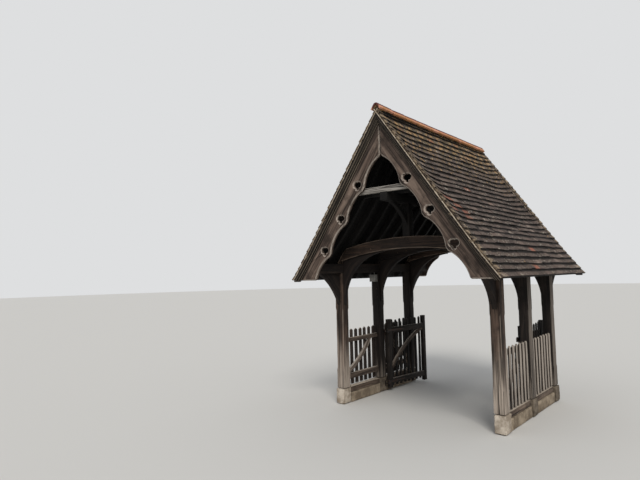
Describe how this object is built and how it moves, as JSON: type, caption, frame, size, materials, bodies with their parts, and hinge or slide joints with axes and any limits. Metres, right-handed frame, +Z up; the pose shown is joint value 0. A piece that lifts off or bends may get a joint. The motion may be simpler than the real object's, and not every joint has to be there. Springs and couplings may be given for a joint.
{
  "type": "lychgate",
  "caption": "Open oak lychgate with a steep plain-tiled roof, cusped and pierced bargeboards, arch-braced tie beams, paled sides and a pair of hung gate leaves.",
  "frame": {"origin": "on the ground at the centre of the gateway", "axes": "+X across the gateway to the right as seen from the front, +Y along the ridge to the rear, +Z up"},
  "size_m": [3.1478, 3.3, 4.1184],
  "materials": {
    "post_oak": "weathered, bleached at the foot",
    "frame_oak": "dark, dry, out of the weather",
    "bargeboard_oak": "weathered, grey on its edges",
    "fence_oak": "silver grey, weathered",
    "gate_oak": "dark, weathered",
    "sill_oak": "weathered, worn",
    "clay_tiles": "hand-made clay, lichened",
    "ridge_clay": "terracotta",
    "pale_stone": "rough",
    "iron": "black, dull",
    "grey_plastic": "dusty"
  },
  "bodies": {
    "frame": {"front_left_post": "post_oak", "front_right_post": "post_oak", "front_tie_beam": "frame_oak", "middle_left_post": "post_oak", "middle_right_post": "post_oak", "middle_tie_beam": "frame_oak", "rear_left_post": "post_oak", "rear_right_post": "post_oak", "rear_tie_beam": "frame_oak", "post_stones": "pale_stone", "kerbs": "pale_stone", "left_sills": "sill_oak", "left_wall_plate": "frame_oak", "front_left_fence": "fence_oak", "rear_left_fence": "fence_oak", "left_rafters": "frame_oak", "left_roof_boards": "frame_oak", "left_tile_slope": "clay_tiles", "front_left_bargeboard": "bargeboard_oak", "rear_left_bargeboard": "bargeboard_oak", "right_sills": "sill_oak", "right_wall_plate": "frame_oak", "front_right_fence": "fence_oak", "rear_right_fence": "fence_oak", "right_rafters": "frame_oak", "right_roof_boards": "frame_oak", "right_tile_slope": "clay_tiles", "front_right_bargeboard": "bargeboard_oak", "rear_right_bargeboard": "bargeboard_oak", "arch_braces": "frame_oak", "eaves_brackets": "frame_oak", "crown_posts": "frame_oak", "crown_braces": "frame_oak", "collar_purlin": "frame_oak", "collars": "frame_oak", "ridge_board": "frame_oak", "ridge_tiles": "ridge_clay", "verge_mouldings": "bargeboard_oak", "pintles": "iron", "junction_box": "grey_plastic"},
    "left_gate": {"left_gate_leaf": "gate_oak", "left_gate_hinges": "iron"},
    "right_gate": {"right_gate_leaf": "gate_oak", "right_gate_hinges": "iron"}
  },
  "joints": [
    {"name": "left_gate_hinge", "type": "hinge", "parent": "frame", "child": "left_gate", "pos_m": [-1.05, 0.045, 0.15], "axis": [0, 0, 1], "range_deg": [-84, 5]},
    {"name": "right_gate_hinge", "type": "hinge", "parent": "frame", "child": "right_gate", "pos_m": [1.05, 0.045, 0.15], "axis": [0, 0, 1], "range_deg": [-2, 88]}
  ]
}
